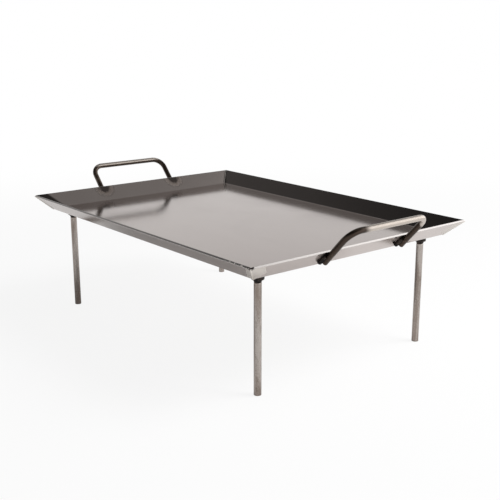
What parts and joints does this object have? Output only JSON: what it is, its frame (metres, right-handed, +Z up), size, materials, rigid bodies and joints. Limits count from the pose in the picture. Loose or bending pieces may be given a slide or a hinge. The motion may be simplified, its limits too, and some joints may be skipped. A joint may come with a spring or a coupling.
{
  "type": "camp griddle plate",
  "caption": "Shallow rectangular steel griddle pan with flared walls, bar handles at its ends and screw-in round legs, standing over a fire or stove to cook on.",
  "frame": {"origin": "on the ground under the middle of the pan", "axes": "+X along the pan's length towards the right handle, +Y towards its back wall, +Z up"},
  "size_m": [0.695, 0.4328, 0.2382],
  "materials": {
    "pan_steel": "bare mill-finish sheet steel, satin, with soft rolling marks",
    "ground_weld": "weld metal ground flush with the walls",
    "handle_bar": "dark oxidised round bar, rubbed bright on the grip",
    "weld_bead": "blackened fillet bead with rippled scale",
    "nut_steel": "heat-blackened flanged weld nut",
    "leg_bar": "mottled bare round bar",
    "stud_steel": "bright threaded stud"
  },
  "bodies": {
    "griddle": {"pan": "pan_steel", "corner_seam_front_left": "ground_weld", "corner_seam_front_right": "ground_weld", "corner_seam_back_left": "ground_weld", "corner_seam_back_right": "ground_weld", "handle_left": "handle_bar", "handle_right": "handle_bar", "handle_weld_left_front_inner": "weld_bead", "handle_weld_left_front_outer": "weld_bead", "handle_weld_left_back_inner": "weld_bead", "handle_weld_left_back_outer": "weld_bead", "handle_weld_right_front_inner": "weld_bead", "handle_weld_right_front_outer": "weld_bead", "handle_weld_right_back_inner": "weld_bead", "handle_weld_right_back_outer": "weld_bead", "weld_nut_front_left": "nut_steel", "weld_nut_front_right": "nut_steel", "weld_nut_back_left": "nut_steel", "weld_nut_back_right": "nut_steel"},
    "stud_front_left": {"stud_front_left": "stud_steel"},
    "leg_front_left": {"leg_front_left": "leg_bar"},
    "stud_front_right": {"stud_front_right": "stud_steel"},
    "leg_front_right": {"leg_front_right": "leg_bar"},
    "stud_back_left": {"stud_back_left": "stud_steel"},
    "leg_back_left": {"leg_back_left": "leg_bar"},
    "stud_back_right": {"stud_back_right": "stud_steel"},
    "leg_back_right": {"leg_back_right": "leg_bar"}
  },
  "joints": [
    {"name": "leg_front_left_travel", "type": "slide", "parent": "griddle", "child": "stud_front_left", "axis": [0, 0, -1], "range_m": [0, 0.005]},
    {"name": "leg_front_left_turn", "type": "hinge", "parent": "stud_front_left", "child": "leg_front_left", "pos_m": [-0.25868, -0.16568, 0.1], "axis": [0, 0, -1], "range_deg": [0, 1440]},
    {"name": "leg_front_right_travel", "type": "slide", "parent": "griddle", "child": "stud_front_right", "axis": [0, 0, -1], "range_m": [0, 0.005]},
    {"name": "leg_front_right_turn", "type": "hinge", "parent": "stud_front_right", "child": "leg_front_right", "pos_m": [0.25868, -0.16568, 0.1], "axis": [0, 0, -1], "range_deg": [0, 1440]},
    {"name": "leg_back_left_travel", "type": "slide", "parent": "griddle", "child": "stud_back_left", "axis": [0, 0, -1], "range_m": [0, 0.005]},
    {"name": "leg_back_left_turn", "type": "hinge", "parent": "stud_back_left", "child": "leg_back_left", "pos_m": [-0.25868, 0.16568, 0.1], "axis": [0, 0, -1], "range_deg": [0, 1440]},
    {"name": "leg_back_right_travel", "type": "slide", "parent": "griddle", "child": "stud_back_right", "axis": [0, 0, -1], "range_m": [0, 0.005]},
    {"name": "leg_back_right_turn", "type": "hinge", "parent": "stud_back_right", "child": "leg_back_right", "pos_m": [0.25868, 0.16568, 0.1], "axis": [0, 0, -1], "range_deg": [0, 1440]}
  ],
  "couplings": [
    {"joint": "leg_front_left_turn", "follows": "leg_front_left_travel", "rad_per_m": 5026.5},
    {"joint": "leg_front_right_turn", "follows": "leg_front_right_travel", "rad_per_m": 5026.5},
    {"joint": "leg_back_left_turn", "follows": "leg_back_left_travel", "rad_per_m": 5026.5},
    {"joint": "leg_back_right_turn", "follows": "leg_back_right_travel", "rad_per_m": 5026.5}
  ]
}
